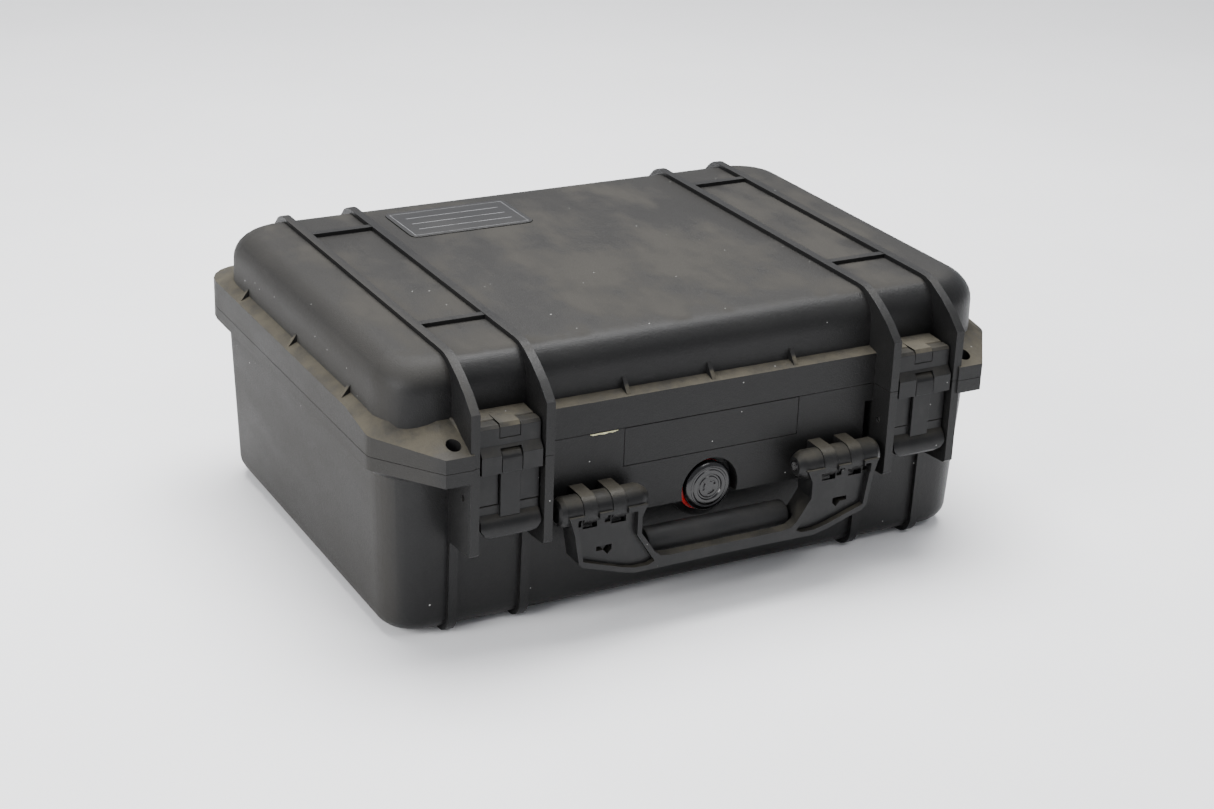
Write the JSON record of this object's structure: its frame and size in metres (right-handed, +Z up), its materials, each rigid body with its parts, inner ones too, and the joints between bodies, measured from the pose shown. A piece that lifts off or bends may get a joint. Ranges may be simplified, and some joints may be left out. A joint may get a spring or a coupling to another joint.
{
  "type": "hard protective equipment case",
  "caption": "Moulded hard case for carrying fragile equipment: deep base, domed lid, sealed rim, over-centre latches and a folding handle.",
  "frame": {"origin": "centre of the outer bounding box in plan, at floor level under the foot rails", "axes": "+X to the right along the length, -Y towards the front with the latches and the handle, +Z up"},
  "size_m": [0.415, 0.33, 0.174],
  "materials": {
    "shell_black": "moulded, fine grain",
    "latch_black": "moulded, smoother than the shell",
    "grip_rubber": "matte overmould",
    "seal_rubber": "matte round section",
    "valve_ring_red": "smooth round section",
    "pin_steel": "plain drawn rod",
    "foam_grey": "open-cell foam",
    "label_black": "thin blank plate"
  },
  "bodies": {
    "base": {"base_shell": "shell_black", "name_plate": "shell_black", "base_foam_pad": "foam_grey", "base_foam_insert": "foam_grey", "hinge_pin_left": "pin_steel", "hinge_pin_right": "pin_steel", "latch_left_lower_pin": "pin_steel", "latch_right_lower_pin": "pin_steel", "handle_pin_left": "pin_steel", "handle_pin_right": "pin_steel", "valve_body": "latch_black", "valve_nut": "latch_black", "valve_o_ring": "valve_ring_red"},
    "lid": {"lid_shell": "shell_black", "lid_label": "label_black", "lid_seal": "seal_rubber", "lid_foam": "foam_grey"},
    "left_hook": {"latch_left_hook": "latch_black", "latch_left_upper_pin": "pin_steel"},
    "right_hook": {"latch_right_hook": "latch_black", "latch_right_upper_pin": "pin_steel"},
    "left_lever": {"latch_left_lever": "latch_black"},
    "right_lever": {"latch_right_lever": "latch_black"},
    "handle": {"handle_frame": "latch_black", "handle_grip": "grip_rubber"},
    "valve": {"valve_knob": "latch_black"}
  },
  "joints": [
    {"name": "lid_hinge", "type": "hinge", "parent": "base", "child": "lid", "pos_m": [0, 0.1613, 0.1183], "axis": [-1, 0, 0], "range_deg": [0, 105]},
    {"name": "left_hook_pivot", "type": "hinge", "parent": "base", "child": "left_hook", "pos_m": [-0.1375, -0.1494, 0.097], "axis": [1, 0, 0], "range_deg": [0, 25]},
    {"name": "right_hook_pivot", "type": "hinge", "parent": "base", "child": "right_hook", "pos_m": [0.1375, -0.1494, 0.097], "axis": [1, 0, 0], "range_deg": [0, 25]},
    {"name": "left_lever_pivot", "type": "hinge", "parent": "left_hook", "child": "left_lever", "pos_m": [-0.1375, -0.1519, 0.1182], "axis": [-1, 0, 0], "range_deg": [0, 100]},
    {"name": "right_lever_pivot", "type": "hinge", "parent": "right_hook", "child": "right_lever", "pos_m": [0.1375, -0.1519, 0.1182], "axis": [-1, 0, 0], "range_deg": [0, 100]},
    {"name": "handle_fold", "type": "hinge", "parent": "base", "child": "handle", "pos_m": [0, -0.1542, 0.0792], "axis": [-1, 0, 0], "range_deg": [0, 100]},
    {"name": "valve_turn", "type": "hinge", "parent": "base", "child": "valve", "pos_m": [0, -0.1335, 0.07], "axis": [0, -1, 0], "range_deg": [0, 180]}
  ],
  "couplings": [
    {"joint": "left_hook_pivot", "follows": "left_lever_pivot", "ratio": 0.25},
    {"joint": "right_hook_pivot", "follows": "right_lever_pivot", "ratio": 0.25}
  ]
}
